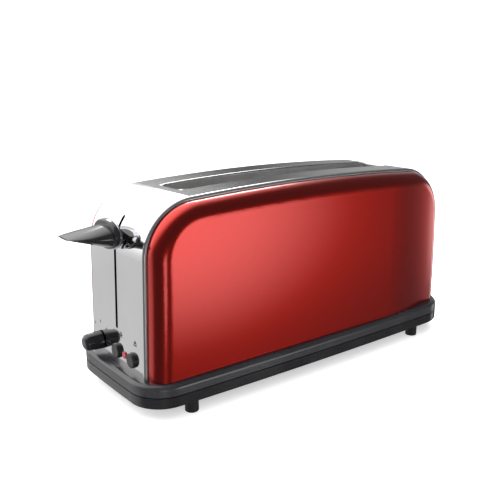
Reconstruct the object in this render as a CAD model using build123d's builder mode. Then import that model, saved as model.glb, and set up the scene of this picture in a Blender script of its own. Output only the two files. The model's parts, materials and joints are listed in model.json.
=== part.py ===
from build123d import *
import math
import os

# Long-slot pop-up toaster, in millimetres.
# +X runs from the lever end to the rear end, +Z is up, and the origin is on the surface it stands on,
# under the middle of its length and width.

# Overall size
OVERALL_LENGTH = 434.0
OVERALL_WIDTH = 148.4
TOP_HEIGHT = 192.3

# Base: a lower tray and an upper plinth ring with a dark groove between them, on four feet
BASE_LENGTH = 400.0
BASE_REAR = OVERALL_LENGTH / 2
BASE_MID_X = BASE_REAR - BASE_LENGTH / 2
BASE_CORNER = 31.0
BASE_REAR_CORNER = 42.0
BASE_SIDE_BULGE = 3.4
BASE_END_BULGE = 1.0
BASE_WALL = 2.5
TRAY_EDGE_RADIUS = 1.5
EASE = 0.8
FOOT_RADIUS = 6.2
FOOT_HEIGHT = 13.0
FOOT_SPIGOT_RADIUS = 3.5
FOOT_FRONT_X = -134.0
FOOT_REAR_X = 162.0
FOOT_Y = 61.0
TRAY_BOTTOM = FOOT_HEIGHT
TRAY_TOP = 23.0
TRAY_FLOOR_TOP = TRAY_BOTTOM + BASE_WALL
LIP_TOP = 26.5
LIP_INSET = 3.0
LIP_WALL = 1.8
RIB_HEIGHT = 5.0
RIB_GAP = 0.6
MOUTH_GAP = 0.7
MOUTH_DEPTH = 24.0
RIB_THICKNESS = 2.0
RIB_LENGTH = BASE_LENGTH - 80
PLINTH_BOTTOM = 23.9
PLINTH_TOP = 34.3
PLINTH_EDGE_RADIUS = 4.5
PLINTH_OPENING_HALF_Y = 55.0
PLINTH_OPENING_LENGTH = 354.0
PLINTH_OPENING_CORNER = 20.0
PLINTH_SHELF = 2.5

# Body: a steel band bent over the ends and the top, closed by a pressed panel on each side
BODY_LENGTH = 374.0
BODY_MID_X = 16.4
BODY_FRONT = BODY_MID_X - BODY_LENGTH / 2
BODY_REAR = BODY_MID_X + BODY_LENGTH / 2
BODY_BOTTOM = PLINTH_TOP
BODY_CORNER = 51.0
CROWN_RADIUS = 2285.0
FRONT_LEAN = 2.7
REAR_LEAN = 4.4
BAND_HALF_Y = 49.6
BAND_RIM = 2.6
BAND_LIP = 0.2
SHEET = 1.0
END_CUT_ROOM = 10.0
END_CUT_DEPTH = 28.0

# Side panels
PANEL_INSET = BAND_RIM + BAND_LIP + 0.25
PANEL_INNER_Y = 48.0
PANEL_OUTER_Y = 69.2
PANEL_EDGE_RADIUS = 15.0
PANEL_SHEET = 1.2
PANEL_PLAN_RADIUS = 20000.0
PANEL_CROWN_RADIUS = 2400.0
PANEL_CROWN_Z = 102.5
PANEL_FRONT_TURN = 1.0
PANEL_SWEEP_START = 112.0
PANEL_REAR_RADIUS = 400.0
PANEL_REAR_TURN = 18.0
PANEL_ROLL_ROOM = 20.0
PANEL_BLOCK_ROOM = 10.0
PANEL_BLOCK_DEPTH = 100.0

# Bread slot
SLOT_FRONT = -113.0
SLOT_REAR = 155.0
SLOT_LENGTH = SLOT_REAR - SLOT_FRONT
SLOT_MID_X = (SLOT_FRONT + SLOT_REAR) / 2
SLOT_WIDTH = 36.0
SLOT_CORNER = 8.0
SLOT_COLLAR_BOTTOM = 179.0
SLOT_LIP_RADIUS = 1.7

# Lever slit and lever
SLIT_WIDTH = 4.0
SLIT_BOTTOM = 67.5
SLIT_TOP = 169.0
LEVER_Z = 155.0
LEVER_TRAVEL = 82.0
LEVER_LIFT = 8.0
ARM_HALF_Y = 1.2
ARM_HEIGHT = 7.0
BOSS_BACK = BODY_FRONT - 3.3
BOSS_DEPTH = 6.0
BOSS_WIDTH = 43.0
BOSS_HEIGHT = 26.0
TRIM_DEPTH = 1.6
TRIM_MARGIN = 0.7
TRIM_EDGE_RADIUS = 0.5
BOSS_STEP = 4.0
BOSS_EDGE_RADIUS = 1.6
WING_TIP = -OVERALL_LENGTH / 2
WING_STEPS = (0.0, 0.25, 0.5, 0.75, 1.0)
WING_HALF_WIDTH = 19.5
WING_TIP_HALF_WIDTH = 10.5
WING_HALF_DEPTH = 9.8
WING_TIP_HALF_DEPTH = 0.8
WING_DROP = -1.5
WING_RISE = 1.6
WING_WIDTH_CURVE = 3.0
WING_DEPTH_CURVE = 1.0

# Controls on the front face
CONTROL_Z = 46.5
KNOB_Y = 33.0
KNOB_RADIUS = 8.75
KNOB_TIP_RADIUS = 7.6
KNOB_LENGTH = 17.0
KNOB_BACK = BODY_FRONT - 3.2
KNOB_HOLE_RADIUS = 4.0
KNOB_SHAFT_RADIUS = 3.0
KNOB_SOCKET = 8.0
KNOB_NOSE_RADIUS = 5.0
POINTER_LENGTH = 9.0
POINTER_WIDTH = 1.2
POINTER_DEPTH = 0.6
DEFROST_Y = -0.5
CANCEL_Y = -28.5
BUTTON_RADIUS = 6.75
BUTTON_FRONT = BODY_FRONT - 5.6
BUTTON_EDGE_RADIUS = 1.2
BUTTON_STEM_RADIUS = 2.4
STEM_GAP = 2.0
BUTTON_KEEPER_RADIUS = 7.95
BUTTON_KEEPER_DEPTH = 1.4
BUTTON_KEEPER_X = BODY_FRONT - 1.0
LAMP_Y = -14.0
LAMP_RADIUS = 3.4
HOLE_GAP = 0.35

# Chassis inside the body
FRONT_PLATE_X = BODY_FRONT + 40.5
REAR_PLATE_X = BODY_REAR - 33.0
PLATE_HALF_Y = 44.0
PLATE_TOP = 175.5
PLATE_FOOT_HALF_Y = 58.0
PLATE_FOOT_TOP = 43.5
FOLD_SHEET = 0.8
PLATE_SLOT_ROOM = 1.5
RACK_SLOT_GAP = 0.5
RAIL_SLOT_END_GAP = 1.0
RAIL_SLOT_GAP = 0.4
FOLD_WIDTH = 8.0
VENT_PITCH = 24.0
VENT_LENGTH = 14.0
VENT_HEIGHT = 4.0
VENTS = 11
CHAMBER_LENGTH = REAR_PLATE_X - FRONT_PLATE_X - SHEET
CHAMBER_MID_X = (REAR_PLATE_X + FRONT_PLATE_X + SHEET) / 2
SHIELD_Y = 38.0
CARD_Y = 28.0
CARD_BOTTOM = 48.5
CARD_TOP = 170.5
CARD_THICKNESS = 0.8
RIBBON_ROWS = 12
RIBBON_MARGIN = 7.0
RIBBON_HEIGHT = 2.2
RIBBON_THICKNESS = 0.4

# Bread guides: wire cages that close on the bread as the carriage goes down
GUIDE_Y = 16.5
GUIDE_TRAVEL = 7.0
GUIDE_WIRE_RADIUS = 1.0
GUIDE_RAIL_RADIUS = 1.5
GUIDE_RAIL_LOW_Z = 51.5
GUIDE_RAIL_HIGH_Z = 166.5
GUIDE_WIRES = 13
GUIDE_WIRE_TOP = 177.5
RAIL_OVERHANG = 3.0
GUIDE_WIRE_END = 6.0

# Carriage that carries the bread
RACK_TOP = 129.5
RACK_HEIGHT = 8.0
RACK_HALF_Y = 1.0
RACK_TAB_HALF_Y = 6.5
RACK_TAB_LENGTH = 5.0
RACK_TAB_THICKNESS = 1.5
RACK_TABS = 12
RACK_TAB_CORNER = 1.5
RACK_OVERHANG = 5.0
CARRIAGE_REACH = 9.0
CARRIAGE_CHAMFER = 3.0
EAR_THICKNESS = 2.5
EAR_MARGIN = 0.5
PADDLE_THICKNESS = 1.5
PADDLE_LENGTH = 10.0
PADDLE_SHIFT = 2.0
ROD_X = BODY_FRONT + 22.0
ROD_Y = 12.0
ROD_RADIUS = 2.5
ROD_FOOT_Z = PLINTH_TOP + 0.5
ROD_HEAD = 2.0
RUNNING_GAP = 0.05
SPRING_Y = 27.0
SPRING_RADIUS = 3.5
SPRING_WIRE = 0.5
SPRING_TURNS = 14
SPRING_BOTTOM = 132.5
SPRING_TOP = 170.2
TOP_TAB_Z = 170.5
TAB_THICKNESS = 1.5
TAB_END_ROOM = 4.0
TAB_SIDE_ROOM = 6.0
SHELF_TOP = PLINTH_TOP + 2.5
SHELF_LOW_Y = -33.0
SHELF_HIGH_Y = 45.0
MAGNET_Y = -22.0
MAGNET_TOP = 62.5
MAGNET_WIDTH = 18.0
MAGNET_GAP = 8.0
MAGNET_DEPTH = 14.0
MAGNET_BACK = 3.0
MAGNET_SHIFT = 4.0
ARMATURE_GAP = 0.6
COIL_WIDTH = 10.0
COIL_LENGTH = 19.0
COIL_CORNER = 2.0
ARMATURE_THICKNESS = 3.0
ARMATURE_MARGIN = 1.0
BUSH_HEIGHT = 26.0
BUSH_LENGTH = 13.0
BUSH_REACH = 5.5

# Crumb tray
CRUMB_FRONT = -126.0
CRUMB_REAR = BASE_REAR - 6.0
CRUMB_HALF_Y = 46.0
CRUMB_BOTTOM = 16.0
CRUMB_TOP = 21.8
CRUMB_SHEET = 0.8
CRUMB_CORNER = 4.0
CRUMB_GRIP_DEPTH = 20.0
FINGER_RECESS_RADIUS = 1.7
FINGER_RECESS_HALF_Y = 22.0
FINGER_RECESS_SETBACK = 3.4

# Control board
BOARD_FRONT = BODY_FRONT + 7.0
BOARD_THICKNESS = 1.6
BOARD_TOP = 62.5
BOARD_BOTTOM = PLINTH_TOP
BOARD_HOLE_GAP = 1.0
TIMER_RADIUS = 7.8
TIMER_DEPTH = 8.0
TIMER_BORE_DEPTH = 6.5
PUSH_SWITCH_SIZE = 6.2
PUSH_SWITCH_DEPTH = 2.0
LED_RADIUS = 2.4
LED_LENGTH = 5.0
LENS_DEPTH = 3.4
LENS_FLANGE_DEPTH = 0.9
LENS_STAND = 1.0
LENS_FLANGE_MARGIN = 1.0
LENS_GAP = 0.1
MAINS_SWITCH_SIZE = 12.0
MAINS_SWITCH_HEIGHT = 9.5
MAINS_SWITCH_Y = SHELF_HIGH_Y - 1.0 - MAINS_SWITCH_SIZE / 2

# Cord inlet in the rear end
INLET_Z = 50.5
TERMINAL_Y = -33.0
INLET_BORE_RADIUS = 3.4
INLET_NECK_RADIUS = 6.0
INLET_NECK_GAP = 0.1
INLET_FLANGE_RADIUS = 8.2
INLET_FLANGE_FRONT = BODY_REAR + REAR_LEAN - 0.3
INLET_FLANGE_DEPTH = 1.4
INLET_NECK_FRONT = INLET_FLANGE_FRONT - 7.6
TERMINAL_DEPTH = 14.0
TERMINAL_WIDTH = 18.0
TERMINAL_HEIGHT = 16.0
TERMINAL_PITCH = 8.5
TERMINAL_SCREW_RADIUS = 2.4
TERMINAL_SCREW_DEPTH = 6.0

SCREW_X = (-152.0, 13.0, 180.0)
SCREW_Y = 60.5
SCREW_RADIUS = 1.5
SCREW_LENGTH = 12.0
SCREW_HEAD_RADIUS = 3.0
SCREW_HEAD_HEIGHT = 2.0
SCREW_CROSS = 3.6
SCREW_CROSS_WIDTH = 0.7
SCREW_BOSS_RADIUS = 4.0
SCREW_BOSS_TOP = PLINTH_TOP - 3.0


def save(piece, name):
    """Label a finished sub-part and write it as its own file."""
    piece.part.label = name
    export_step(piece.part, f"parts/{name}.step")


def base_outline(height, inset=0.0):
    """Plan of the base, or of a wall set in from it: four gently bulged sides with round corners."""
    half_x = BASE_LENGTH / 2 - inset
    half_y = OVERALL_WIDTH / 2 - inset
    corner_x = half_x - BASE_END_BULGE
    corner_y = half_y - BASE_SIDE_BULGE
    with BuildSketch(Plane.XY.offset(height)) as outline:
        with BuildLine(Location((BASE_MID_X, 0, 0))):
            ThreePointArc((-corner_x, -corner_y), (0, -half_y), (corner_x, -corner_y))
            ThreePointArc((corner_x, -corner_y), (half_x, 0), (corner_x, corner_y))
            ThreePointArc((corner_x, corner_y), (0, half_y), (-corner_x, corner_y))
            ThreePointArc((-corner_x, corner_y), (-half_x, 0), (-corner_x, -corner_y))
        make_face()
        fillet(outline.vertices().sort_by(Axis.X)[:2], BASE_CORNER - inset)
        fillet(outline.vertices().sort_by(Axis.X)[-2:], BASE_REAR_CORNER - inset)
    return outline.sketch


def crown_height(x, inset=0.0):
    """Height of the crowned top at a place along the body."""
    radius = CROWN_RADIUS - inset
    return TOP_HEIGHT - CROWN_RADIUS + math.sqrt(radius**2 - (x - BODY_MID_X) ** 2)


def body_outline(inset=0.0):
    """Side view of the body: two leaning ends joined by a crowned top with large round corners."""
    front = BODY_FRONT + inset
    rear = BODY_REAR - inset
    front_foot = (front - FRONT_LEAN, BODY_BOTTOM)
    front_top = (front + FRONT_LEAN / 2, crown_height(front + FRONT_LEAN / 2, inset))
    rear_top = (rear - REAR_LEAN / 2, crown_height(rear - REAR_LEAN / 2, inset))
    rear_foot = (rear + REAR_LEAN, BODY_BOTTOM)
    with BuildSketch(Plane.XZ) as outline:
        with BuildLine():
            Line(front_foot, front_top)
            ThreePointArc(front_top, (BODY_MID_X, TOP_HEIGHT - inset), rear_top)
            Line(rear_top, rear_foot)
            Line(rear_foot, front_foot)
        make_face()
        fillet(outline.vertices().sort_by(Axis.Y)[-2:], BODY_CORNER - inset)
    return outline.sketch


def mirrored(piece):
    """The same sub-part on the other long side."""
    with BuildPart() as twin:
        add(mirror(piece.part, about=Plane.XZ, mode=Mode.PRIVATE))
    return twin


# --- Base -------------------------------------------------------------------------------------


def screw_circles(radius):
    """One circle at each of the base's screws."""
    for x in SCREW_X:
        with Locations((x, SCREW_Y), (x, -SCREW_Y)):
            Circle(radius)


def make_base_tray():
    with BuildPart() as base_tray:
        add(base_outline(TRAY_BOTTOM))
        extrude(amount=TRAY_TOP - TRAY_BOTTOM)
        fillet(base_tray.faces().sort_by(Axis.Z)[0].edges(), TRAY_EDGE_RADIUS)
        # lip that the plinth ring fits over
        add(base_outline(TRAY_BOTTOM + TRAY_EDGE_RADIUS, LIP_INSET))
        extrude(amount=LIP_TOP - TRAY_BOTTOM - TRAY_EDGE_RADIUS)
        add(base_outline(TRAY_FLOOR_TOP, LIP_INSET + LIP_WALL))
        extrude(amount=LIP_TOP, mode=Mode.SUBTRACT)
        # guide ribs on both sides of the crumb tray
        rib_y = CRUMB_HALF_Y + RIB_GAP + RIB_THICKNESS / 2
        with BuildSketch(Plane.XY.offset(TRAY_FLOOR_TOP)):
            with Locations((BASE_MID_X, rib_y), (BASE_MID_X, -rib_y)):
                Rectangle(RIB_LENGTH, RIB_THICKNESS)
        extrude(amount=RIB_HEIGHT)
        # mouth for the crumb tray in the rear wall
        with BuildSketch(Plane.XY.offset(TRAY_FLOOR_TOP)):
            with Locations((BASE_REAR, 0)):
                Rectangle(MOUTH_DEPTH, 2 * (CRUMB_HALF_Y + MOUTH_GAP))
        extrude(amount=LIP_TOP, mode=Mode.SUBTRACT)
        with BuildSketch(Plane.XY.offset(TRAY_FLOOR_TOP)):
            with Locations((FOOT_FRONT_X, 0), (FOOT_REAR_X, 0)):
                with GridLocations(0, 2 * FOOT_Y, 1, 2):
                    Circle(FOOT_SPIGOT_RADIUS)
            screw_circles(SCREW_RADIUS + HOLE_GAP)
        extrude(amount=-TRAY_FLOOR_TOP, mode=Mode.SUBTRACT)
    return base_tray


def make_plinth_ring():
    with BuildPart() as plinth_ring:
        add(base_outline(PLINTH_BOTTOM))
        extrude(amount=PLINTH_TOP - PLINTH_BOTTOM)
        fillet(plinth_ring.faces().sort_by(Axis.Z)[-1].edges(), PLINTH_EDGE_RADIUS)
        add(base_outline(PLINTH_BOTTOM, BASE_WALL))
        extrude(amount=PLINTH_TOP - PLINTH_BOTTOM - BASE_WALL - PLINTH_SHELF, mode=Mode.SUBTRACT)
        with BuildSketch(Plane.XY.offset(PLINTH_BOTTOM)):
            with Locations((BODY_MID_X, 0)):
                RectangleRounded(PLINTH_OPENING_LENGTH, 2 * PLINTH_OPENING_HALF_Y, PLINTH_OPENING_CORNER)
        extrude(amount=PLINTH_TOP, mode=Mode.SUBTRACT)
        # bosses that the base screws run up into
        with BuildSketch(Plane.XY.offset(TRAY_FLOOR_TOP)):
            screw_circles(SCREW_BOSS_RADIUS)
        extrude(amount=SCREW_BOSS_TOP - TRAY_FLOOR_TOP)
        with BuildSketch(Plane.XY.offset(TRAY_FLOOR_TOP)):
            screw_circles(SCREW_RADIUS)
        extrude(amount=SCREW_LENGTH, mode=Mode.SUBTRACT)
    return plinth_ring


def make_base_screws():
    head_bottom = TRAY_BOTTOM - SCREW_HEAD_HEIGHT
    with BuildPart() as base_screws:
        with BuildSketch(Plane.XY.offset(head_bottom)):
            screw_circles(SCREW_HEAD_RADIUS)
        extrude(amount=SCREW_HEAD_HEIGHT)
        fillet(base_screws.edges().group_by(Axis.Z)[0], EASE)
        with BuildSketch(Plane.XY.offset(TRAY_BOTTOM)):
            screw_circles(SCREW_RADIUS)
        extrude(amount=SCREW_LENGTH)
        with BuildSketch(Plane.XY.offset(head_bottom)):
            for x in SCREW_X:
                with Locations((x, SCREW_Y), (x, -SCREW_Y)):
                    Rectangle(SCREW_CROSS, SCREW_CROSS_WIDTH)
                    Rectangle(SCREW_CROSS_WIDTH, SCREW_CROSS)
        extrude(amount=SCREW_HEAD_HEIGHT / 2, mode=Mode.SUBTRACT)
    return base_screws


def make_foot(x, y):
    with BuildPart() as foot:
        with BuildSketch(Plane.XY):
            with Locations((x, y)):
                Circle(FOOT_RADIUS)
        extrude(amount=FOOT_HEIGHT)
        fillet(foot.edges().group_by(Axis.Z)[0], EASE)
        with BuildSketch(Plane.XY.offset(FOOT_HEIGHT)):
            with Locations((x, y)):
                Circle(FOOT_SPIGOT_RADIUS)
        extrude(amount=BASE_WALL)
    return foot


def make_crumb_tray():
    length = CRUMB_REAR - CRUMB_FRONT
    middle = (CRUMB_REAR + CRUMB_FRONT) / 2
    with BuildPart() as crumb_tray:
        with BuildSketch(Plane.XY.offset(CRUMB_BOTTOM)):
            with Locations((middle, 0)):
                RectangleRounded(length, 2 * CRUMB_HALF_Y, CRUMB_CORNER)
        extrude(amount=CRUMB_TOP - CRUMB_BOTTOM)
        with BuildSketch(Plane.XY.offset(CRUMB_BOTTOM + CRUMB_SHEET)):
            with Locations((middle, 0)):
                inner_half_y = CRUMB_HALF_Y - CRUMB_SHEET
                RectangleRounded(length - 2 * CRUMB_SHEET, 2 * inner_half_y, CRUMB_CORNER - CRUMB_SHEET)
        extrude(amount=CRUMB_TOP, mode=Mode.SUBTRACT)
    return crumb_tray


def make_crumb_handle():
    """Grip on the rear end of the crumb tray, flush with the base, with a finger recess below."""
    with BuildPart() as crumb_handle:
        with BuildSketch(Plane.XY.offset(CRUMB_BOTTOM)):
            with Locations((CRUMB_REAR + CRUMB_GRIP_DEPTH / 2, 0)):
                Rectangle(CRUMB_GRIP_DEPTH, 2 * CRUMB_HALF_Y)
        extrude(amount=TRAY_TOP - HOLE_GAP - CRUMB_BOTTOM)
        extrude(base_outline(0, HOLE_GAP), amount=TRAY_TOP, mode=Mode.INTERSECT)
        grip = crumb_handle.faces().sort_by(Axis.X)[-1]
        fillet(grip.edges().filter_by(GeomType.CIRCLE), EASE)
        with BuildSketch(Plane.XZ) as recess:
            with Locations((BASE_REAR - FINGER_RECESS_SETBACK, CRUMB_BOTTOM)):
                Circle(FINGER_RECESS_RADIUS)
        extrude(recess.sketch, amount=FINGER_RECESS_HALF_Y, both=True, mode=Mode.SUBTRACT)
    return crumb_handle


# --- Outer body -------------------------------------------------------------------------------


def band_block(shrink=0.0):
    """The band's envelope as a solid, with every face moved in by the same amount."""
    with BuildPart() as block:
        extrude(body_outline(shrink), amount=BAND_HALF_Y - shrink, both=True)
        sides = block.faces().sort_by(Axis.Y)
        rim = sides[0].edges() + sides[-1].edges()
        fillet([edge for edge in rim if edge.center().Z > BODY_BOTTOM + 1], BAND_RIM - shrink)
    return block


def make_slot_collar():
    """Wall that the sheet folds down into round the bread slot."""
    with BuildPart() as collar:
        with BuildSketch(Plane.XY.offset(SLOT_COLLAR_BOTTOM)):
            with Locations((SLOT_MID_X, 0)):
                RectangleRounded(SLOT_LENGTH + 2 * SHEET, SLOT_WIDTH + 2 * SHEET, SLOT_CORNER + SHEET)
        extrude(amount=TOP_HEIGHT)
        extrude(body_outline(), amount=BAND_HALF_Y, both=True, mode=Mode.INTERSECT)
    return collar


def is_slot_mouth(edge):
    """True for the edges where the bread slot meets the outside of the crown."""
    box = edge.bounding_box()
    inside = max(abs(box.min.Y), abs(box.max.Y)) <= SLOT_WIDTH / 2 + 0.01
    within = box.min.X >= SLOT_FRONT - 0.01 and box.max.X <= SLOT_REAR + 0.01
    return inside and within and box.min.Z > SLOT_COLLAR_BOTTOM + 5 and box.size.Z < 4


def make_steel_band():
    with BuildPart() as steel_band:
        add(band_block())
        add(band_block(SHEET), mode=Mode.SUBTRACT)
        extrude(body_outline(BAND_RIM + BAND_LIP), amount=BAND_HALF_Y + SHEET, both=True, mode=Mode.SUBTRACT)
        add(make_slot_collar())
        with BuildSketch(Plane.XY.offset(SLOT_COLLAR_BOTTOM - SHEET)):
            with Locations((SLOT_MID_X, 0)):
                RectangleRounded(SLOT_LENGTH, SLOT_WIDTH, SLOT_CORNER)
        extrude(amount=TOP_HEIGHT, mode=Mode.SUBTRACT)
        fillet(steel_band.edges().filter_by(is_slot_mouth), SLOT_LIP_RADIUS)
        # lever slit and the holes for the controls, all through the front end
        with BuildSketch(Plane.YZ.offset(BODY_FRONT - END_CUT_ROOM)):
            with Locations((0, (SLIT_BOTTOM + SLIT_TOP) / 2)):
                SlotOverall(SLIT_TOP - SLIT_BOTTOM, SLIT_WIDTH, rotation=90)
            with Locations((KNOB_Y, CONTROL_Z)):
                Circle(KNOB_HOLE_RADIUS)
            with Locations((DEFROST_Y, CONTROL_Z), (CANCEL_Y, CONTROL_Z)):
                Circle(BUTTON_RADIUS + HOLE_GAP)
            with Locations((LAMP_Y, CONTROL_Z)):
                Circle(LAMP_RADIUS)
        extrude(amount=END_CUT_DEPTH, mode=Mode.SUBTRACT)
        with BuildSketch(Plane.YZ.offset(BODY_REAR - END_CUT_ROOM)):
            with Locations((0, INLET_Z)):
                Circle(INLET_NECK_RADIUS)
        extrude(amount=END_CUT_DEPTH, mode=Mode.SUBTRACT)
    return steel_band


def crown_profile(shrink):
    """Upright section of the near panel's crowned face, where its rear sweep starts."""
    low = BODY_BOTTOM - PANEL_BLOCK_ROOM
    high = TOP_HEIGHT + PANEL_BLOCK_ROOM
    outer = PANEL_OUTER_Y - shrink
    inner = PANEL_INNER_Y - PANEL_ROLL_ROOM
    top_set = (high - PANEL_CROWN_Z) ** 2 / (2 * PANEL_CROWN_RADIUS)
    foot_set = (low - PANEL_CROWN_Z) ** 2 / (2 * PANEL_CROWN_RADIUS)
    with BuildSketch(Plane.YZ.offset(PANEL_SWEEP_START)) as profile:
        with BuildLine():
            ThreePointArc((foot_set - outer, low), (-outer, PANEL_CROWN_Z), (top_set - outer, high))
            Line((top_set - outer, high), (-inner, high))
            Line((-inner, high), (-inner, low))
            Line((-inner, low), (foot_set - outer, low))
        make_face()
    return profile.sketch


def crowned_block(shrink=0.0):
    """Near-side block whose outer face is crowned upright and sweeps in towards the rear."""
    front_centre = (PANEL_SWEEP_START, PANEL_PLAN_RADIUS - PANEL_OUTER_Y, 0)
    rear_centre = (PANEL_SWEEP_START, PANEL_REAR_RADIUS - PANEL_OUTER_Y, 0)
    with BuildPart() as block:
        revolve(crown_profile(shrink), axis=Axis(front_centre, (0, 0, -1)), revolution_arc=PANEL_FRONT_TURN)
        revolve(crown_profile(shrink), axis=Axis(rear_centre, (0, 0, 1)), revolution_arc=PANEL_REAR_TURN)
    return block


def is_panel_rim(edge):
    """True for the outer edges of the panel's face that roll over to the ends and the top."""
    place = edge.center()
    return place.Z > BODY_BOTTOM + 8 and abs(place.X - PANEL_SWEEP_START) > 2


def panel_block(shrink=0.0):
    """The near panel's envelope as a solid, with its outer faces moved in by the same amount."""
    with BuildPart() as block:
        extrude(body_outline(PANEL_INSET + shrink), amount=OVERALL_WIDTH)
        add(crowned_block(shrink), mode=Mode.INTERSECT)
        outer = block.faces().sort_by(Axis.Y)[:2]
        rim = outer[0].edges() + outer[1].edges()
        fillet(rim.filter_by(is_panel_rim), PANEL_EDGE_RADIUS - shrink)
        with BuildSketch(Plane.XY):
            with Locations((BODY_MID_X, shrink - PANEL_INNER_Y - PANEL_BLOCK_DEPTH / 2)):
                Rectangle(OVERALL_LENGTH, PANEL_BLOCK_DEPTH)
        extrude(amount=TOP_HEIGHT + PANEL_BLOCK_ROOM, mode=Mode.INTERSECT)
    return block


def make_side_panel():
    """Near-side panel: a pressed shell, crowned both ways, that rolls back to meet the steel band."""
    with BuildPart() as side_panel:
        add(panel_block())
        add(panel_block(PANEL_SHEET), mode=Mode.SUBTRACT)
    return side_panel


# --- Chassis and heating ----------------------------------------------------------------------


def plate_profile():
    """Upright plate with a wide foot, drawn across the body."""
    Polyline(
        (-PLATE_FOOT_HALF_Y, PLINTH_TOP),
        (PLATE_FOOT_HALF_Y, PLINTH_TOP),
        (PLATE_FOOT_HALF_Y, PLATE_FOOT_TOP),
        (PLATE_HALF_Y, PLATE_FOOT_TOP),
        (PLATE_HALF_Y, PLATE_TOP),
        (-PLATE_HALF_Y, PLATE_TOP),
        (-PLATE_HALF_Y, PLATE_FOOT_TOP),
        (-PLATE_FOOT_HALF_Y, PLATE_FOOT_TOP),
        close=True,
    )


def cut_plate_slots():
    """Slots for the rack bar and for the ends of the four guide rails."""
    rack_low = RACK_TOP - RACK_HEIGHT - LEVER_TRAVEL - PLATE_SLOT_ROOM
    rack_high = RACK_TOP + LEVER_LIFT + PLATE_SLOT_ROOM
    slot_length = GUIDE_TRAVEL + 2 * (GUIDE_RAIL_RADIUS + RAIL_SLOT_END_GAP)
    with Locations((0, (rack_low + rack_high) / 2)):
        Rectangle(2 * (RACK_HALF_Y + RACK_SLOT_GAP), rack_high - rack_low)
    for z in (GUIDE_RAIL_LOW_Z, GUIDE_RAIL_HIGH_Z):
        for side in (-1, 1):
            with Locations((side * (GUIDE_Y - GUIDE_TRAVEL / 2), z)):
                SlotOverall(slot_length, 2 * (GUIDE_RAIL_RADIUS + RAIL_SLOT_GAP))


def make_end_plate(x):
    """Upright plate that one end of the heating chamber hangs on."""
    with BuildPart() as end_plate:
        with BuildSketch(Plane.YZ.offset(x)):
            with BuildLine():
                plate_profile()
            make_face()
        extrude(amount=SHEET)
        with BuildSketch(Plane.YZ.offset(x)):
            cut_plate_slots()
        extrude(amount=SHEET, mode=Mode.SUBTRACT)
    return end_plate


def make_front_plate():
    """End plate with a tab over the guide rod and return spring, and a shelf for the magnet."""
    tab_depth = FRONT_PLATE_X - ROD_X + TAB_END_ROOM
    with BuildPart() as front_plate:
        add(make_end_plate(FRONT_PLATE_X))
        with BuildSketch(Plane.XY.offset(TOP_TAB_Z)):
            with Locations((FRONT_PLATE_X - tab_depth / 2, (ROD_Y + SPRING_Y) / 2)):
                Rectangle(tab_depth, SPRING_Y - ROD_Y + 2 * TAB_SIDE_ROOM)
        extrude(amount=TAB_THICKNESS)
        with BuildSketch(Plane.XY.offset(SHELF_TOP - TAB_THICKNESS)):
            with Locations((FRONT_PLATE_X - tab_depth / 2, (SHELF_LOW_Y + SHELF_HIGH_Y) / 2)):
                Rectangle(tab_depth, SHELF_HIGH_Y - SHELF_LOW_Y)
        extrude(amount=TAB_THICKNESS)
        with BuildSketch(Plane.XY.offset(PLINTH_TOP)):
            with Locations((ROD_X, ROD_Y)):
                Circle(ROD_RADIUS)
        extrude(amount=PLATE_TOP, mode=Mode.SUBTRACT)
    return front_plate


def make_heat_shield():
    """Near-side reflector, with its top edge folded inward and ventilation slots along its foot."""
    with BuildPart() as heat_shield:
        with BuildSketch(Plane.XZ.offset(SHIELD_Y)):
            with Locations((CHAMBER_MID_X, (PLATE_FOOT_TOP + PLATE_TOP) / 2)):
                Rectangle(CHAMBER_LENGTH, PLATE_TOP - PLATE_FOOT_TOP)
            with Locations((CHAMBER_MID_X, PLATE_FOOT_TOP + 2 * VENT_HEIGHT)):
                with GridLocations(VENT_PITCH, 0, VENTS, 1):
                    SlotOverall(VENT_LENGTH, VENT_HEIGHT, mode=Mode.SUBTRACT)
        extrude(amount=FOLD_SHEET)
        with BuildSketch(Plane.XY.offset(PLATE_TOP - FOLD_SHEET)):
            with Locations((CHAMBER_MID_X, FOLD_WIDTH / 2 - SHIELD_Y)):
                Rectangle(CHAMBER_LENGTH, FOLD_WIDTH)
        extrude(amount=FOLD_SHEET)
    return heat_shield


def make_element_card():
    """Near-side mica card that carries the heating ribbon."""
    with BuildPart() as element_card:
        with BuildSketch(Plane.XZ.offset(CARD_Y)):
            with Locations((CHAMBER_MID_X, (CARD_BOTTOM + CARD_TOP) / 2)):
                Rectangle(CHAMBER_LENGTH, CARD_TOP - CARD_BOTTOM)
        extrude(amount=CARD_THICKNESS)
    return element_card


def make_heating_ribbon():
    """Near-side resistance ribbon: level runs joined at alternate ends into one long path."""
    lowest = CARD_BOTTOM + RIBBON_MARGIN
    pitch = (CARD_TOP - RIBBON_MARGIN - lowest) / (RIBBON_ROWS - 1)
    front = FRONT_PLATE_X + SHEET + RIBBON_MARGIN
    rear = REAR_PLATE_X - RIBBON_MARGIN
    with BuildPart() as heating_ribbon:
        with BuildSketch(Plane.XZ.offset(CARD_Y - RIBBON_THICKNESS)):
            for row in range(RIBBON_ROWS):
                with Locations((CHAMBER_MID_X, lowest + row * pitch)):
                    Rectangle(rear - front, RIBBON_HEIGHT)
            for row in range(RIBBON_ROWS - 1):
                end = rear - RIBBON_HEIGHT / 2 if row % 2 == 0 else front + RIBBON_HEIGHT / 2
                with Locations((end, lowest + (row + 0.5) * pitch)):
                    Rectangle(RIBBON_HEIGHT, pitch)
        extrude(amount=RIBBON_THICKNESS)
    return heating_ribbon


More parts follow.
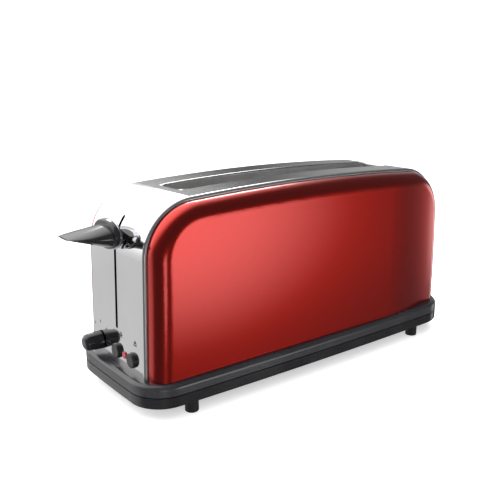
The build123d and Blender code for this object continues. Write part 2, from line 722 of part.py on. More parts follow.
def make_bread_guide():
    """Near-side wire cage: upright wires between two rails whose ends run in the end plates."""
    rail_front = FRONT_PLATE_X - RAIL_OVERHANG
    rail_length = REAR_PLATE_X + SHEET + RAIL_OVERHANG - rail_front
    spacing = (SLOT_LENGTH - 2 * GUIDE_WIRE_END) / (GUIDE_WIRES - 1)
    with BuildPart() as bread_guide:
        with BuildSketch(Plane.YZ.offset(rail_front)):
            with Locations((-GUIDE_Y, GUIDE_RAIL_LOW_Z), (-GUIDE_Y, GUIDE_RAIL_HIGH_Z)):
                Circle(GUIDE_RAIL_RADIUS)
        extrude(amount=rail_length)
        with BuildSketch(Plane.XY.offset(GUIDE_RAIL_LOW_Z)):
            with Locations((SLOT_MID_X, -GUIDE_Y)):
                with GridLocations(spacing, 0, GUIDE_WIRES, 1):
                    Circle(GUIDE_WIRE_RADIUS)
        extrude(amount=GUIDE_WIRE_TOP - GUIDE_RAIL_LOW_Z)
    return bread_guide


# --- Carriage ---------------------------------------------------------------------------------


def make_bread_rack():
    """Long bar under the bread with cross tabs, passing through both end plates."""
    front = ROD_X + CARRIAGE_REACH
    rear = REAR_PLATE_X + SHEET + RACK_OVERHANG
    with BuildPart() as bread_rack:
        with BuildSketch(Plane.XZ.offset(-RACK_HALF_Y)):
            with Locations(((front + rear) / 2, RACK_TOP - RACK_HEIGHT / 2)):
                Rectangle(rear - front, RACK_HEIGHT)
        extrude(amount=2 * RACK_HALF_Y)
        with BuildSketch(Plane.XY.offset(RACK_TOP - RACK_TAB_THICKNESS)):
            with Locations((SLOT_MID_X, 0)):
                with GridLocations(SLOT_LENGTH / RACK_TABS, 0, RACK_TABS, 1):
                    RectangleRounded(RACK_TAB_LENGTH, 2 * RACK_TAB_HALF_Y, RACK_TAB_CORNER)
        extrude(amount=RACK_TAB_THICKNESS)
    return bread_rack


def make_carriage_plate():
    """Plate behind the front end: its arm passes through the slit and carries the lever."""
    arm_bottom = LEVER_Z - ARM_HEIGHT / 2
    arm_top = LEVER_Z + ARM_HEIGHT / 2
    plate_front = ROD_X - CARRIAGE_REACH
    plate_rear = ROD_X + CARRIAGE_REACH
    foot = RACK_TOP - RACK_HEIGHT
    bush_side = ROD_Y + BUSH_REACH
    paddle_bottom = MAGNET_TOP + LEVER_TRAVEL + ARMATURE_GAP + ARMATURE_THICKNESS
    paddle_side = MAGNET_Y - MAGNET_WIDTH / 2
    ear_side = SPRING_Y + SPRING_RADIUS
    with BuildPart() as carriage_plate:
        with BuildSketch(Plane.XZ.offset(-ARM_HALF_Y)):
            with BuildLine():
                Polyline(
                    (BOSS_BACK, arm_bottom),
                    (plate_front, arm_bottom),
                    (plate_front, foot + CARRIAGE_CHAMFER),
                    (plate_front + CARRIAGE_CHAMFER, foot),
                    (plate_rear, foot),
                    (plate_rear, arm_top - CARRIAGE_CHAMFER),
                    (plate_rear - CARRIAGE_CHAMFER, arm_top),
                    (BOSS_BACK, arm_top),
                    close=True,
                )
            make_face()
        extrude(amount=2 * ARM_HALF_Y)
        # bush that slides on the guide rod
        with BuildSketch(Plane.XY.offset(foot)):
            with Locations((ROD_X, (ARM_HALF_Y + bush_side) / 2)):
                Rectangle(BUSH_LENGTH, bush_side - ARM_HALF_Y)
        extrude(amount=BUSH_HEIGHT)
        # ear that the return spring hooks on
        with BuildSketch(Plane.XY.offset(SPRING_BOTTOM - HOLE_GAP)):
            with Locations((ROD_X, (ROD_Y + ear_side) / 2)):
                Rectangle(2 * (SPRING_RADIUS + EAR_MARGIN), ear_side - ROD_Y)
        extrude(amount=-EAR_THICKNESS)
        # paddle that holds the armature
        with BuildSketch(Plane.XY.offset(paddle_bottom)):
            with Locations((ROD_X + PADDLE_SHIFT, (paddle_side - ARM_HALF_Y) / 2)):
                Rectangle(PADDLE_LENGTH, -paddle_side - ARM_HALF_Y)
        extrude(amount=PADDLE_THICKNESS)
        with BuildSketch(Plane.XY.offset(foot)):
            with Locations((ROD_X, ROD_Y)):
                Circle(ROD_RADIUS + RUNNING_GAP)
        extrude(amount=BUSH_HEIGHT, mode=Mode.SUBTRACT)
    return carriage_plate


def make_armature():
    """Iron plate that the magnet holds while the bread toasts."""
    length = MAGNET_DEPTH + 2 * ARMATURE_MARGIN
    width = MAGNET_WIDTH + 2 * ARMATURE_MARGIN
    with BuildPart() as armature:
        with BuildSketch(Plane.XY.offset(MAGNET_TOP + LEVER_TRAVEL + ARMATURE_GAP)):
            with Locations((ROD_X + MAGNET_SHIFT, MAGNET_Y)):
                RectangleRounded(length, width, EASE)
        extrude(amount=ARMATURE_THICKNESS)
    return armature


def boss_ellipse(x, margin=0.0):
    with BuildSketch(Plane.YZ.offset(x)) as oval:
        with Locations((0, LEVER_Z)):
            Ellipse(BOSS_WIDTH / 2 + margin, BOSS_HEIGHT / 2 + margin)
    return oval.sketch


def make_lever_trim():
    """Bright rim round the back of the lever boss."""
    with BuildPart() as lever_trim:
        extrude(boss_ellipse(BOSS_BACK - TRIM_DEPTH, TRIM_MARGIN), amount=TRIM_DEPTH)
        fillet(lever_trim.edges().group_by(Axis.X)[0], TRIM_EDGE_RADIUS)
        extrude(boss_ellipse(BOSS_BACK - TRIM_DEPTH, -BOSS_STEP), amount=TRIM_DEPTH, mode=Mode.SUBTRACT)
    return lever_trim


def make_lever_boss():
    with BuildPart() as lever_boss:
        extrude(boss_ellipse(BOSS_BACK - BOSS_DEPTH), amount=BOSS_DEPTH - TRIM_DEPTH)
        fillet(lever_boss.edges().group_by(Axis.X)[0], BOSS_EDGE_RADIUS)
        extrude(boss_ellipse(BOSS_BACK - TRIM_DEPTH, -BOSS_STEP), amount=TRIM_DEPTH)
    return lever_boss


def make_lever_wing():
    """Finger paddle: a deep blade that thins from the boss to a rounded tip and turns up a little."""
    root = BOSS_BACK - BOSS_DEPTH
    reach = root - WING_TIP
    with BuildPart() as lever_wing:
        for step in WING_STEPS:
            narrowing = (WING_HALF_WIDTH - WING_TIP_HALF_WIDTH) * step**WING_WIDTH_CURVE
            thinning = (WING_HALF_DEPTH - WING_TIP_HALF_DEPTH) * step**WING_DEPTH_CURVE
            rise = WING_DROP + (WING_RISE - WING_DROP) * step
            with BuildSketch(Plane.YZ.offset(root - reach * step)):
                with Locations((0, LEVER_Z + rise)):
                    Ellipse(WING_HALF_WIDTH - narrowing, WING_HALF_DEPTH - thinning)
        loft()
    return lever_wing


def make_guide_rod():
    with BuildPart() as guide_rod:
        with BuildSketch(Plane.XY.offset(ROD_FOOT_Z)):
            with Locations((ROD_X, ROD_Y)):
                Circle(ROD_RADIUS)
        extrude(amount=TOP_TAB_Z + ROD_HEAD - ROD_FOOT_Z)
    return guide_rod


def make_return_spring():
    """Extension spring that lifts the carriage; its upper end stays on the front plate."""
    turns_height = SPRING_TOP - SPRING_BOTTOM - 2 * SPRING_WIRE
    with BuildPart() as return_spring:
        with BuildLine(Location((ROD_X, SPRING_Y, SPRING_BOTTOM + SPRING_WIRE))) as coil:
            Helix(pitch=turns_height / SPRING_TURNS, height=turns_height, radius=SPRING_RADIUS)
        with BuildSketch(Plane(origin=coil.line @ 0, z_dir=coil.line % 0)):
            Circle(SPRING_WIRE)
        sweep(is_frenet=True)
    return return_spring


# --- Electrical parts -------------------------------------------------------------------------


def make_magnet_core():
    """Upright iron U whose two legs face the armature."""
    height = MAGNET_TOP - SHELF_TOP
    with BuildPart() as magnet_core:
        with BuildSketch(Plane.YZ.offset(ROD_X + MAGNET_SHIFT - MAGNET_DEPTH / 2)):
            with Locations((MAGNET_Y, SHELF_TOP + height / 2)):
                Rectangle(MAGNET_WIDTH, height)
            with Locations((MAGNET_Y, SHELF_TOP + height / 2 + MAGNET_BACK)):
                Rectangle(MAGNET_GAP, height, mode=Mode.SUBTRACT)
        extrude(amount=MAGNET_DEPTH)
    return magnet_core


def make_magnet_coil():
    """Winding on one leg of the core."""
    coil_low = SHELF_TOP + 2 * MAGNET_BACK
    leg_width = (MAGNET_WIDTH - MAGNET_GAP) / 2
    leg_y = MAGNET_Y - (MAGNET_GAP + leg_width) / 2
    with BuildPart() as magnet_coil:
        with BuildSketch(Plane.XY.offset(coil_low)):
            with Locations((ROD_X + MAGNET_SHIFT, leg_y)):
                RectangleRounded(COIL_LENGTH, COIL_WIDTH, COIL_CORNER)
                Rectangle(MAGNET_DEPTH, leg_width, mode=Mode.SUBTRACT)
        extrude(amount=MAGNET_TOP - MAGNET_BACK - coil_low)
    return magnet_coil


def make_control_board():
    with BuildPart() as control_board:
        with BuildSketch(Plane.YZ.offset(BOARD_FRONT)):
            with Locations((0, (BOARD_BOTTOM + BOARD_TOP) / 2)):
                Rectangle(2 * PLATE_HALF_Y, BOARD_TOP - BOARD_BOTTOM)
            with Locations((KNOB_Y, CONTROL_Z)):
                Circle(KNOB_SHAFT_RADIUS + BOARD_HOLE_GAP, mode=Mode.SUBTRACT)
        extrude(amount=BOARD_THICKNESS)
    return control_board


def make_timer_control():
    """Rotary control behind the board, bored for the knob's shaft."""
    with BuildPart() as timer_control:
        with BuildSketch(Plane.YZ.offset(BOARD_FRONT + BOARD_THICKNESS)):
            with Locations((KNOB_Y, CONTROL_Z)):
                Circle(TIMER_RADIUS)
        extrude(amount=TIMER_DEPTH)
        fillet(timer_control.edges().group_by(Axis.X)[-1], EASE)
        with BuildSketch(Plane.YZ.offset(BOARD_FRONT + BOARD_THICKNESS)):
            with Locations((KNOB_Y, CONTROL_Z)):
                Circle(KNOB_SHAFT_RADIUS + RUNNING_GAP)
        extrude(amount=TIMER_BORE_DEPTH, mode=Mode.SUBTRACT)
    return timer_control


def make_push_switch(y):
    with BuildPart() as push_switch:
        with BuildSketch(Plane.YZ.offset(BOARD_FRONT - PUSH_SWITCH_DEPTH)):
            with Locations((y, CONTROL_Z)):
                RectangleRounded(PUSH_SWITCH_SIZE, PUSH_SWITCH_SIZE, EASE)
        extrude(amount=PUSH_SWITCH_DEPTH)
    return push_switch


def make_lamp():
    """Light-emitting diode on the board."""
    with BuildPart() as lamp:
        with BuildSketch(Plane.YZ.offset(BOARD_FRONT - LED_LENGTH)):
            with Locations((LAMP_Y, CONTROL_Z)):
                Circle(LED_RADIUS)
        extrude(amount=LED_LENGTH)
        fillet(lamp.edges().group_by(Axis.X)[0], LED_RADIUS - EASE)
    return lamp


def make_lamp_lens():
    """Small domed window, held by a flange behind the sheet."""
    front = BODY_FRONT - FRONT_LEAN - LENS_STAND
    with BuildPart() as lamp_lens:
        with BuildSketch(Plane.YZ.offset(front)):
            with Locations((LAMP_Y, CONTROL_Z)):
                Circle(LAMP_RADIUS - LENS_GAP)
        extrude(amount=LENS_DEPTH)
        fillet(lamp_lens.edges().group_by(Axis.X)[0], EASE)
        with BuildSketch(Plane.YZ.offset(front + LENS_DEPTH - LENS_FLANGE_DEPTH)):
            with Locations((LAMP_Y, CONTROL_Z)):
                Circle(LAMP_RADIUS + LENS_FLANGE_MARGIN)
        extrude(amount=LENS_FLANGE_DEPTH)
    return lamp_lens


def make_mains_switch():
    """Contact block that the carriage closes at the bottom of its travel."""
    with BuildPart() as mains_switch:
        with BuildSketch(Plane.XY.offset(SHELF_TOP)):
            with Locations((ROD_X + MAINS_SWITCH_SIZE / 2, MAINS_SWITCH_Y)):
                Rectangle(MAINS_SWITCH_SIZE, MAINS_SWITCH_SIZE)
        extrude(amount=MAINS_SWITCH_HEIGHT)
        chamfer(mains_switch.edges().group_by(Axis.Z)[-1], EASE)
    return mains_switch


def make_terminal_block():
    """Block on the rear plate where the cord's two cores are screwed down."""
    middle_x = REAR_PLATE_X + SHEET + TERMINAL_DEPTH / 2
    top = PLATE_FOOT_TOP + TERMINAL_HEIGHT
    with BuildPart() as terminal_block:
        with BuildSketch(Plane.XY.offset(PLATE_FOOT_TOP)):
            with Locations((middle_x, TERMINAL_Y)):
                Rectangle(TERMINAL_DEPTH, TERMINAL_WIDTH)
        extrude(amount=TERMINAL_HEIGHT)
        with BuildSketch(Plane.XY.offset(top)):
            with Locations((middle_x, TERMINAL_Y)):
                with GridLocations(0, TERMINAL_PITCH, 1, 2):
                    Circle(TERMINAL_SCREW_RADIUS)
        extrude(amount=-TERMINAL_SCREW_DEPTH, mode=Mode.SUBTRACT)
    return terminal_block


def make_cord_bush():
    """Rubber bush in the rear end where a mains cord would enter."""
    flange_rear = INLET_FLANGE_FRONT + INLET_FLANGE_DEPTH
    with BuildPart() as cord_bush:
        with BuildSketch(Plane.YZ.offset(INLET_NECK_FRONT)):
            with Locations((0, INLET_Z)):
                Circle(INLET_NECK_RADIUS - INLET_NECK_GAP)
        extrude(amount=flange_rear - INLET_NECK_FRONT)
        with BuildSketch(Plane.YZ.offset(INLET_FLANGE_FRONT)):
            with Locations((0, INLET_Z)):
                Circle(INLET_FLANGE_RADIUS)
        extrude(amount=INLET_FLANGE_DEPTH)
        fillet(cord_bush.edges().group_by(Axis.X)[-1], EASE)
        with BuildSketch(Plane.YZ.offset(INLET_NECK_FRONT)):
            with Locations((0, INLET_Z)):
                Circle(INLET_BORE_RADIUS)
        extrude(amount=flange_rear - INLET_NECK_FRONT, mode=Mode.SUBTRACT)
    return cord_bush


# --- Controls ---------------------------------------------------------------------------------


def make_browning_knob():
    """Slim round knob, tapering a little to a well rounded tip with one pointer groove."""
    front = KNOB_BACK - KNOB_LENGTH
    with BuildPart() as browning_knob:
        with BuildSketch(Plane.YZ.offset(front)):
            with Locations((KNOB_Y, CONTROL_Z)):
                Circle(KNOB_TIP_RADIUS)
        with BuildSketch(Plane.YZ.offset(KNOB_BACK)):
            with Locations((KNOB_Y, CONTROL_Z)):
                Circle(KNOB_RADIUS)
        loft()
        fillet(browning_knob.edges().group_by(Axis.X)[0], KNOB_NOSE_RADIUS)
        with BuildSketch(Plane.YZ.offset(KNOB_BACK)):
            with Locations((KNOB_Y, CONTROL_Z)):
                Circle(KNOB_SHAFT_RADIUS)
        extrude(amount=-KNOB_SOCKET, mode=Mode.SUBTRACT)
        with BuildSketch(Plane.XY.offset(CONTROL_Z + KNOB_RADIUS - POINTER_DEPTH)):
            with Locations((KNOB_BACK, KNOB_Y)):
                Rectangle(2 * POINTER_LENGTH, POINTER_WIDTH)
        extrude(amount=2 * POINTER_DEPTH, mode=Mode.SUBTRACT)
    return browning_knob


def make_knob_shaft():
    shaft_front = KNOB_BACK - KNOB_SOCKET
    shaft_rear = BOARD_FRONT + BOARD_THICKNESS + TIMER_BORE_DEPTH - EASE
    with BuildPart() as knob_shaft:
        with BuildSketch(Plane.YZ.offset(shaft_front)):
            with Locations((KNOB_Y, CONTROL_Z)):
                Circle(KNOB_SHAFT_RADIUS)
        extrude(amount=shaft_rear - shaft_front)
    return knob_shaft


def make_button(y):
    """Round push button: domed cap, keeper flange behind the sheet and a stem to its switch."""
    with BuildPart() as button:
        with BuildSketch(Plane.YZ.offset(BUTTON_FRONT)):
            with Locations((y, CONTROL_Z)):
                Circle(BUTTON_RADIUS)
        extrude(amount=BUTTON_KEEPER_X - BUTTON_FRONT)
        fillet(button.edges().group_by(Axis.X)[0], BUTTON_EDGE_RADIUS)
        with BuildSketch(Plane.YZ.offset(BUTTON_KEEPER_X)):
            with Locations((y, CONTROL_Z)):
                Circle(BUTTON_KEEPER_RADIUS)
        extrude(amount=BUTTON_KEEPER_DEPTH)
        with BuildSketch(Plane.YZ.offset(BUTTON_KEEPER_X)):
            with Locations((y, CONTROL_Z)):
                Circle(BUTTON_STEM_RADIUS)
        extrude(amount=BOARD_FRONT - PUSH_SWITCH_DEPTH - STEM_GAP - BUTTON_KEEPER_X)
    return button


def main():
    os.makedirs("parts", exist_ok=True)

    save(make_base_tray(), "base_tray")
    save(make_plinth_ring(), "plinth_ring")
    save(make_base_screws(), "base_screws")
    for end, x in (("front", FOOT_FRONT_X), ("rear", FOOT_REAR_X)):
        for side, y in (("left", -FOOT_Y), ("right", FOOT_Y)):
            save(make_foot(x, y), f"foot_{end}_{side}")
    save(make_crumb_tray(), "crumb_tray")
    save(make_crumb_handle(), "crumb_handle")

    save(make_steel_band(), "steel_band")
    save(make_front_plate(), "front_plate")
    save(make_end_plate(REAR_PLATE_X), "rear_plate")
    two_sided = (
        ("side_panel", make_side_panel),
        ("heat_shield", make_heat_shield),
        ("element_card", make_element_card),
        ("heating_ribbon", make_heating_ribbon),
        ("bread_guide", make_bread_guide),
    )
    for name, make in two_sided:
        near = make()
        save(near, f"{name}_left")
        save(mirrored(near), f"{name}_right")

    save(make_bread_rack(), "bread_rack")
    save(make_carriage_plate(), "carriage_plate")
    save(make_armature(), "armature")
    save(make_lever_trim(), "lever_trim")
    save(make_lever_boss(), "lever_boss")
    save(make_lever_wing(), "lever_wing")
    save(make_guide_rod(), "guide_rod")
    save(make_return_spring(), "return_spring")

    save(make_magnet_core(), "magnet_core")
    save(make_magnet_coil(), "magnet_coil")
    save(make_control_board(), "control_board")
    save(make_timer_control(), "timer_control")
    save(make_push_switch(DEFROST_Y), "defrost_switch")
    save(make_push_switch(CANCEL_Y), "cancel_switch")
    save(make_lamp(), "lamp")
    save(make_lamp_lens(), "lamp_lens")
    save(make_mains_switch(), "mains_switch")
    save(make_terminal_block(), "terminal_block")
    save(make_cord_bush(), "cord_bush")

    save(make_browning_knob(), "browning_knob")
    save(make_knob_shaft(), "knob_shaft")
    save(make_button(DEFROST_Y), "defrost_button")
    save(make_button(CANCEL_Y), "cancel_button")


main()
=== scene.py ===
import json
import math

import bpy
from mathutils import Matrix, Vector


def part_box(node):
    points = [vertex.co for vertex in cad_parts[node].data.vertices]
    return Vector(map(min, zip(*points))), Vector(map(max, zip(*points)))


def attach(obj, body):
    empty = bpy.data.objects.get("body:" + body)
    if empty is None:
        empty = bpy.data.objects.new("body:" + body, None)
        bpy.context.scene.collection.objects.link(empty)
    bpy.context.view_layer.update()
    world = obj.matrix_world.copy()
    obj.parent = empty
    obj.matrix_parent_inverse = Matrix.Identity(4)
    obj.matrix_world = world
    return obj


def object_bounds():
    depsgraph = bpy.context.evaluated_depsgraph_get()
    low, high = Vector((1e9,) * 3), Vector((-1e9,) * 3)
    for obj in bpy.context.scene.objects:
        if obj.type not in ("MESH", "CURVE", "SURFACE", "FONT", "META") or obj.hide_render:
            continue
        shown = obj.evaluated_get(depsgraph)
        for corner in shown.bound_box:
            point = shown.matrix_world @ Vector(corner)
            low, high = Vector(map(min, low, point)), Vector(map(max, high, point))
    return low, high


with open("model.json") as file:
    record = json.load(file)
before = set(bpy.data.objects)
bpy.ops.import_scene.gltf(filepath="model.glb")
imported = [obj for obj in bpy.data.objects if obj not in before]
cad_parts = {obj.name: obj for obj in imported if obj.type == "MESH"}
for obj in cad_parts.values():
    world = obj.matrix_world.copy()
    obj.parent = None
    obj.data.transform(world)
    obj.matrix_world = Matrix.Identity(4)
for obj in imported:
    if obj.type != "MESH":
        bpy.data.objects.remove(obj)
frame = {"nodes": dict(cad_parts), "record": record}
cad_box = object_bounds()

# Long-slot toaster: the CAD nodes carry the shape, and this script gives them their surfaces,
# prints the marks on the front end, and sets up the studio.  Lengths are in metres.

# Camera
CAMERA_PLACE = Vector((-0.4325, -0.5308, 0.2912))
CAMERA_AZIMUTH = math.radians(52.28)
CAMERA_PITCH = math.radians(-14.67)
CAMERA_LENS = 49.65

# Studio
FLOOR_RADIUS = 9.0
WALL_HEIGHT = 7.0
FLOOR_GLOW = 0.55
WALL_GLOW = 1.2
WORLD_BASE = 0.10

# Walls round the bread slot
SLOT_MID_X = 0.021
SLOT_HALF_LENGTH = 0.1346
SLOT_HALF_WIDTH = 0.0184
SLOT_LIP_RISE = 0.0125
COLLAR_DULLNESS = 0.32

# Rounded rims of the steel band
RIM_START = 0.0474
RIM_BLEND = 0.0008
RIM_DULLNESS = 0.30

# Printed marks on the front end
PRINT_STAND = 0.00008
PRINT_THICKNESS = 0.00006
PRINT_SPAN = 0.006
RAY_START = 0.05
TICK_RADIUS = 0.0165
TICK_LENGTH = 0.0028
TICK_WIDTH = 0.0007
TICK_COUNT = 7
TICK_SWEEP = 240.0
SYMBOL_Z = 0.0635
FROST_RADIUS = 0.0030
FROST_SHIFT = 0.007
EJECT_SIZE = 0.0026
EJECT_SHIFT = 0.0048
BREAD_SYMBOL_SIZE = 0.0042
SLICE_STROKE = 0.72
SLICE_LIFT = 0.01
BREAD_SYMBOL_Y = -0.0292
BREAD_SYMBOL_Z = 0.1412


# --- Materials --------------------------------------------------------------------------------


class Surface:
    """A Principled material whose colour, roughness and relief come from procedural nodes."""

    def __init__(self, name, scale_from="Object"):
        self.material = bpy.data.materials.new(name)
        self.material.use_nodes = True
        self.nodes = self.material.node_tree.nodes
        self.links = self.material.node_tree.links
        self.shader = self.nodes["Principled BSDF"]
        coordinates = self.nodes.new("ShaderNodeTexCoord")
        self.place = coordinates.outputs[scale_from]

    def settle(self, **values):
        """Set constant inputs straight on the shader."""
        for label, value in values.items():
            self.shader.inputs[label.replace("_", " ")].default_value = value

    def stretched(self, x, y, z):
        """Texture space squeezed along each axis, for grain that runs one way."""
        mapping = self.nodes.new("ShaderNodeMapping")
        mapping.inputs["Scale"].default_value = (x, y, z)
        self.links.new(self.place, mapping.inputs["Vector"])
        return mapping.outputs["Vector"]

    def noise(self, scale, detail=4.0, roughness=0.55, vector=None):
        texture = self.nodes.new("ShaderNodeTexNoise")
        texture.inputs["Scale"].default_value = scale
        texture.inputs["Detail"].default_value = detail
        texture.inputs["Roughness"].default_value = roughness
        self.links.new(vector or self.place, texture.inputs["Vector"])
        return texture.outputs["Fac"]

    def cells(self, scale, feature="F1", vector=None):
        texture = self.nodes.new("ShaderNodeTexVoronoi")
        texture.feature = feature
        texture.inputs["Scale"].default_value = scale
        self.links.new(vector or self.place, texture.inputs["Vector"])
        return texture.outputs["Distance"]

    def ramp(self, factor, low, high, start=0.3, end=0.7):
        """Blend between two colours over part of a texture's range."""
        ramp = self.nodes.new("ShaderNodeValToRGB")
        ramp.color_ramp.elements[0].position = start
        ramp.color_ramp.elements[1].position = end
        ramp.color_ramp.elements[0].color = (*low, 1.0)
        ramp.color_ramp.elements[1].color = (*high, 1.0)
        self.links.new(factor, ramp.inputs["Fac"])
        return ramp.outputs["Color"]

    def colour(self, factor, low, high, start=0.3, end=0.7):
        self.links.new(self.ramp(factor, low, high, start, end), self.shader.inputs["Base Color"])

    def spread(self, factor, start, end, low, high):
        """Stretch part of a texture's range over another range of numbers."""
        scale = self.nodes.new("ShaderNodeMapRange")
        scale.inputs["From Min"].default_value = start
        scale.inputs["From Max"].default_value = end
        scale.inputs["To Min"].default_value = low
        scale.inputs["To Max"].default_value = high
        self.links.new(factor, scale.inputs["Value"])
        return scale.outputs["Result"]

    def roughness(self, factor, low, high, start=0.3, end=0.7):
        self.links.new(self.spread(factor, start, end, low, high), self.shader.inputs["Roughness"])

    def relief(self, *layers):
        """Stack bump layers, each a height texture with a strength and a depth."""
        normal = None
        for height, strength, depth in layers:
            bump = self.nodes.new("ShaderNodeBump")
            bump.inputs["Strength"].default_value = strength
            bump.inputs["Distance"].default_value = depth
            self.links.new(height, bump.inputs["Height"])
            if normal:
                self.links.new(normal, bump.inputs["Normal"])
            normal = bump.outputs["Normal"]
        self.links.new(normal, self.shader.inputs["Normal"])

    def maths(self, operation, *terms):
        """One step of arithmetic on numbers and node outputs."""
        step = self.nodes.new("ShaderNodeMath")
        step.operation = operation
        for socket, term in zip(step.inputs, terms):
            if isinstance(term, (int, float)):
                socket.default_value = term
            else:
                self.links.new(term, socket)
        return step.outputs["Value"]

    def place_along(self, axis):
        """The object's own coordinate along one axis."""
        parted = self.nodes.new("ShaderNodeSeparateXYZ")
        self.links.new(self.place, parted.inputs["Vector"])
        return parted.outputs[axis]


def slot_wall_mask(surface):
    """One on the walls folded down round the bread slot, zero on the outside of the sheet."""
    guide_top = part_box("bread_guide_left")[1].z
    limits = (
        ("X", SLOT_MID_X, SLOT_HALF_LENGTH),
        ("Y", 0.0, SLOT_HALF_WIDTH),
        ("Z", guide_top, SLOT_LIP_RISE),
    )
    mask = 1.0
    for axis, middle, half in limits:
        near = surface.maths("COMPARE", surface.place_along(axis), middle, half)
        mask = surface.maths("MULTIPLY", mask, near)
    return mask


def rim_mask(surface):
    """One on the band's rounded long rims, zero between them."""
    reach = surface.maths("ABSOLUTE", surface.place_along("Y"))
    return surface.spread(reach, RIM_START, RIM_START + RIM_BLEND, 0.0, 1.0)


def polished_steel():
    """Mirror-polished sheet with faint buffing marks, duller in the slot and on the rims."""
    steel = Surface("polished_steel_finish")
    drag = steel.noise(90.0, 6.0, 0.6, steel.stretched(0.25, 1.0, 4.0))
    cloud = steel.noise(14.0, 3.0)
    steel.settle(Metallic=1.0)
    steel.colour(cloud, (0.76, 0.76, 0.765), (0.82, 0.82, 0.825))
    polish = steel.spread(drag, 0.3, 0.7, 0.035, 0.085)
    dulled = steel.maths("MULTIPLY_ADD", slot_wall_mask(steel), COLLAR_DULLNESS, polish)
    softened = steel.maths("MULTIPLY_ADD", rim_mask(steel), RIM_DULLNESS, dulled)
    steel.links.new(softened, steel.shader.inputs["Roughness"])
    steel.relief((drag, 0.03, 0.0002), (steel.noise(6.0, 1.0), 0.02, 0.002))
    return steel.material


def bright_trim():
    trim = Surface("bright_trim_finish")
    trim.settle(Metallic=1.0)
    trim.colour(trim.noise(220.0), (0.62, 0.62, 0.66), (0.78, 0.78, 0.82))
    trim.roughness(trim.noise(500.0), 0.08, 0.16)
    trim.relief((trim.noise(900.0), 0.05, 0.0001))
    return trim.material


def red_lacquer():
    """Candy lacquer: fine metal flake under tinted red, with a clear coat that flows a little."""
    lacquer = Surface("red_lacquer_finish")
    flake = lacquer.cells(5200.0)
    mottle = lacquer.noise(900.0, 3.0)
    flow = lacquer.noise(30.0, 2.0)
    lacquer.settle(Metallic=1.0, Coat_Weight=1.0, Coat_Roughness=0.09, Coat_IOR=1.5)
    lacquer.colour(mottle, (0.60, 0.016, 0.008), (0.66, 0.020, 0.011), 0.35, 0.65)
    lacquer.roughness(flake, 0.25, 0.31, 0.1, 0.6)
    lacquer.relief((flake, 0.02, 0.00005))
    coat = lacquer.nodes.new("ShaderNodeBump")
    coat.inputs["Strength"].default_value = 0.02
    coat.inputs["Distance"].default_value = 0.0005
    lacquer.links.new(flow, coat.inputs["Height"])
    lacquer.links.new(coat.outputs["Normal"], lacquer.shader.inputs["Coat Normal"])
    return lacquer.material


def moulded_black(
    name, low, high, rough_low, rough_high, grain_scale, grain_depth, grain_strength=0.25
):
    """Black moulding with a fine spark-eroded grain and slightly cloudy gloss."""
    plastic = Surface(name)
    grain = plastic.noise(grain_scale, 4.0, 0.6)
    cloud = plastic.noise(22.0, 3.0)
    plastic.colour(cloud, low, high)
    plastic.roughness(cloud, rough_low, rough_high)
    plastic.relief((grain, grain_strength, grain_depth), (cloud, 0.01, 0.0008))
    return plastic


def base_plastic():
    plastic = moulded_black(
        "base_plastic_finish", (0.020, 0.020, 0.023), (0.027, 0.027, 0.030), 0.24, 0.28, 1500.0, 0.00005
    )
    plastic.settle(Specular_IOR_Level=0.9)
    return plastic.material


def tray_plastic():
    """The lower tier is the same moulding with a brighter polish."""
    plastic = moulded_black(
        "tray_plastic_finish", (0.008, 0.008, 0.009), (0.013, 0.013, 0.015), 0.16, 0.24, 1500.0, 0.00003
    )
    plastic.settle(Specular_IOR_Level=0.7, Coat_Weight=0.3, Coat_Roughness=0.10)
    return plastic.material


def gloss_black():
    plastic = moulded_black(
        "gloss_black_finish", (0.008, 0.008, 0.009), (0.014, 0.014, 0.016), 0.04, 0.08, 700.0, 0.00002, 0.04
    )
    plastic.settle(Specular_IOR_Level=0.6, Coat_Weight=0.4, Coat_Roughness=0.04)
    return plastic.material


def button_black():
    plastic = moulded_black(
        "button_black_finish", (0.012, 0.012, 0.013), (0.020, 0.020, 0.022), 0.24, 0.34, 1800.0, 0.00005
    )
    return plastic.material


def foot_rubber():
    plastic = moulded_black(
        "foot_rubber_finish", (0.010, 0.010, 0.011), (0.018, 0.018, 0.019), 0.55, 0.75, 1300.0, 0.0001
    )
    return plastic.material


def inner_plastic():
    plastic = moulded_black(
        "inner_plastic_finish", (0.09, 0.09, 0.095), (0.13, 0.13, 0.135), 0.40, 0.55, 1100.0, 0.00008
    )
    return plastic.material


def plated_sheet():
    """Rolled sheet with long grain, spangle and a little heat tint."""
    sheet = Surface("plated_sheet_finish")
    grain = sheet.noise(160.0, 6.0, 0.6, sheet.stretched(0.06, 1.0, 1.0))
    spangle = sheet.cells(130.0)
    sheet.settle(Metallic=1.0)
    sheet.colour(sheet.noise(9.0, 4.0), (0.44, 0.42, 0.38), (0.60, 0.60, 0.58))
    sheet.roughness(spangle, 0.30, 0.46, 0.0, 0.7)
    sheet.relief((grain, 0.15, 0.0002))
    return sheet.material


def guide_wire():
    wire = Surface("guide_wire_finish")
    drawn = wire.noise(420.0, 5.0, 0.6, wire.stretched(1.0, 1.0, 0.1))
    wire.settle(Metallic=1.0)
    wire.colour(wire.noise(30.0, 4.0), (0.55, 0.54, 0.52), (0.72, 0.72, 0.71))
    wire.roughness(drawn, 0.20, 0.34)
    wire.relief((drawn, 0.12, 0.0001))
    return wire.material


def mica():
    """Pressed mica board: overlapping pale flakes with darker edges."""
    board = Surface("mica_finish")
    flakes = board.cells(170.0, "F1", board.stretched(1.0, 1.0, 0.7))
    board.settle(Specular_IOR_Level=0.6)
    board.colour(flakes, (0.62, 0.57, 0.46), (0.40, 0.35, 0.26), 0.1, 0.8)
    board.roughness(board.noise(90.0), 0.30, 0.50)
    board.relief((flakes, 0.2, 0.0002))
    return board.material


